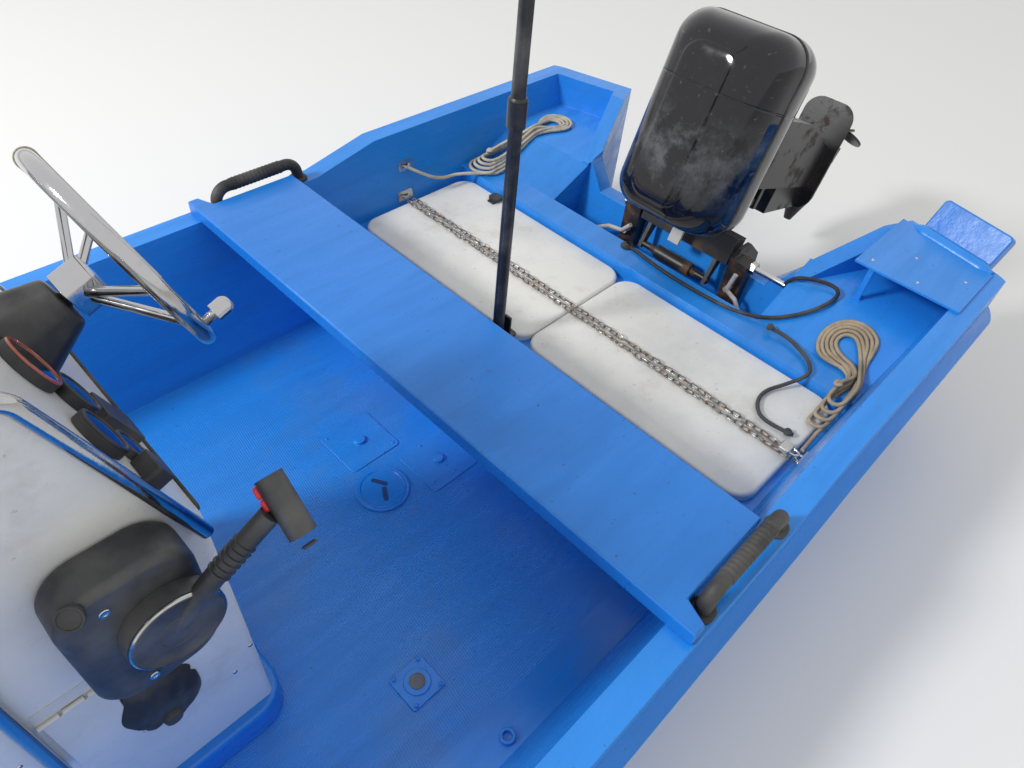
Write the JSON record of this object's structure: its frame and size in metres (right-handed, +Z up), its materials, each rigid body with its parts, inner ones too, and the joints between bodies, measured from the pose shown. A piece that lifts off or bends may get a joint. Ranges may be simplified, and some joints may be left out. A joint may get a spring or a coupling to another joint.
{
  "type": "open outboard skiff with centre console",
  "caption": "Blue open fibreglass skiff with a centre console, a plank seat, chained hatch lids and an outboard engine tilted up",
  "frame": {"origin": "on the centreline at the waterline amidships, where water carries the hull", "axes": "+X to the bow, +Y to port, +Z up"},
  "size_m": [6.2671, 1.77, 2.462],
  "materials": {
    "hull_blue": "gloss blue boat paint, brushed on",
    "deck_blue": "gloss blue deck paint",
    "gelcoat_white": "weathered off-white gelcoat",
    "black_plastic": "moulded black plastic",
    "black_gloss": "gloss black painted cowl",
    "black_rubber": "black rubber",
    "black_metal": "black painted alloy",
    "stainless": "polished stainless steel",
    "galvanised": "galvanised steel with rust",
    "white_wrap": "white cord or tape wrapping",
    "tan_rope": "laid rope, tan and weathered",
    "pale_rope": "laid rope, pale",
    "dark_rope": "laid rope, dark grey",
    "cast_block": "plain engine block"
  },
  "bodies": {
    "root": {"hull": "hull_blue", "deck_liner": "deck_blue", "plank_seat": "hull_blue", "hatch_lid_port": "gelcoat_white", "hatch_lid_stbd": "gelcoat_white", "hatch_latch": "black_plastic", "hatch_chain": "galvanised", "grab_handle_port": "black_rubber", "grab_handle_stbd": "black_rubber", "console_plinth": "hull_blue", "console": "gelcoat_white", "cover_hinge": "gelcoat_white", "gauges": "black_plastic", "switch_panel": "black_plastic", "switch_box": "black_plastic", "dash_trim": "black_rubber", "helm_cover": "black_plastic", "console_rail_port": "stainless", "console_rail_stbd": "stainless", "remote_box": "black_plastic", "cable_boot": "black_rubber", "floor_lid": "deck_blue", "floor_drain": "deck_blue", "mast_foot": "black_metal", "quarter_plate": "deck_blue", "spare_board": "hull_blue", "clamp_bracket": "black_metal", "clamp_screws": "stainless", "tilt_tube": "stainless", "bow_cleat": "stainless", "bow_hinges": "stainless", "bow_eye": "stainless", "pad_eye_port": "stainless", "pad_eye_stbd": "stainless", "rope_eye": "stainless", "floor_plate_port": "deck_blue", "floor_plate_stbd": "deck_blue", "rod_holder": "deck_blue", "coil_port": "tan_rope", "rope_bundle": "tan_rope", "coil_stbd": "pale_rope", "rope_dark": "dark_rope", "rope_stbd": "pale_rope"},
    "console_cover": {"console_cover": "gelcoat_white"},
    "steering_wheel": {"wheel_hub": "stainless", "wheel_rim": "stainless", "wheel_spokes": "stainless", "wheel_grip": "white_wrap", "spinner_knob": "stainless"},
    "throttle_lever": {"throttle_lever": "black_plastic", "lever_grip": "black_plastic"},
    "mast": {"mast_pole": "black_metal"},
    "engine_tilt": {"swivel_bracket": "black_metal"},
    "engine": {"leg": "black_metal", "steering_arm": "stainless", "cowl_tray": "black_gloss", "cowl": "black_gloss", "powerhead": "cast_block"},
    "propeller": {"propeller": "black_metal"},
    "bow_hatch": {"bow_hatch": "gelcoat_white"}
  },
  "joints": [
    {"name": "wheel_turn", "type": "hinge", "parent": "root", "child": "steering_wheel", "pos_m": [-0.749, 0, 1.056], "axis": [-0.9304, 0, 0.3665], "range_deg": [-540, 540]},
    {"name": "engine_tilt", "type": "hinge", "parent": "root", "child": "engine_tilt", "pos_m": [-2.352, 0.046, 0.426], "axis": [0, 1, 0], "range_deg": [-70, 3]},
    {"name": "engine_steer", "type": "hinge", "parent": "engine_tilt", "child": "engine", "pos_m": [-2.39475, 0.046, 0.54346], "axis": [0.9397, 0, 0.342], "range_deg": [-30, 30]},
    {"name": "propeller_spin", "type": "hinge", "parent": "engine", "child": "propeller", "pos_m": [-3.26958, 0.046, 0.43256], "axis": [-0.342, 0, 0.9397], "continuous": true},
    {"name": "throttle", "type": "hinge", "parent": "root", "child": "throttle_lever", "pos_m": [-0.552, 0.3523, 0.752], "axis": [0, 1, 0], "range_deg": [-20, 90]},
    {"name": "cover_hinge", "type": "hinge", "parent": "root", "child": "console_cover", "pos_m": [-0.397, 0.2848, 0.5855], "axis": [1, 0, 0], "range_deg": [0, 100]},
    {"name": "bow_hatch_hinge", "type": "hinge", "parent": "root", "child": "bow_hatch", "pos_m": [2.40028, 0, 0.72277], "axis": [0, 1, 0], "range_deg": [0, 100]},
    {"name": "mast_fold", "type": "hinge", "parent": "root", "child": "mast", "pos_m": [-1.612, -0.06, 0.39], "axis": [1, 0, 0], "range_deg": [0, 75]}
  ],
  "couplings": [
    {"joint": "engine_steer", "follows": "wheel_turn", "ratio": -0.055556}
  ]
}
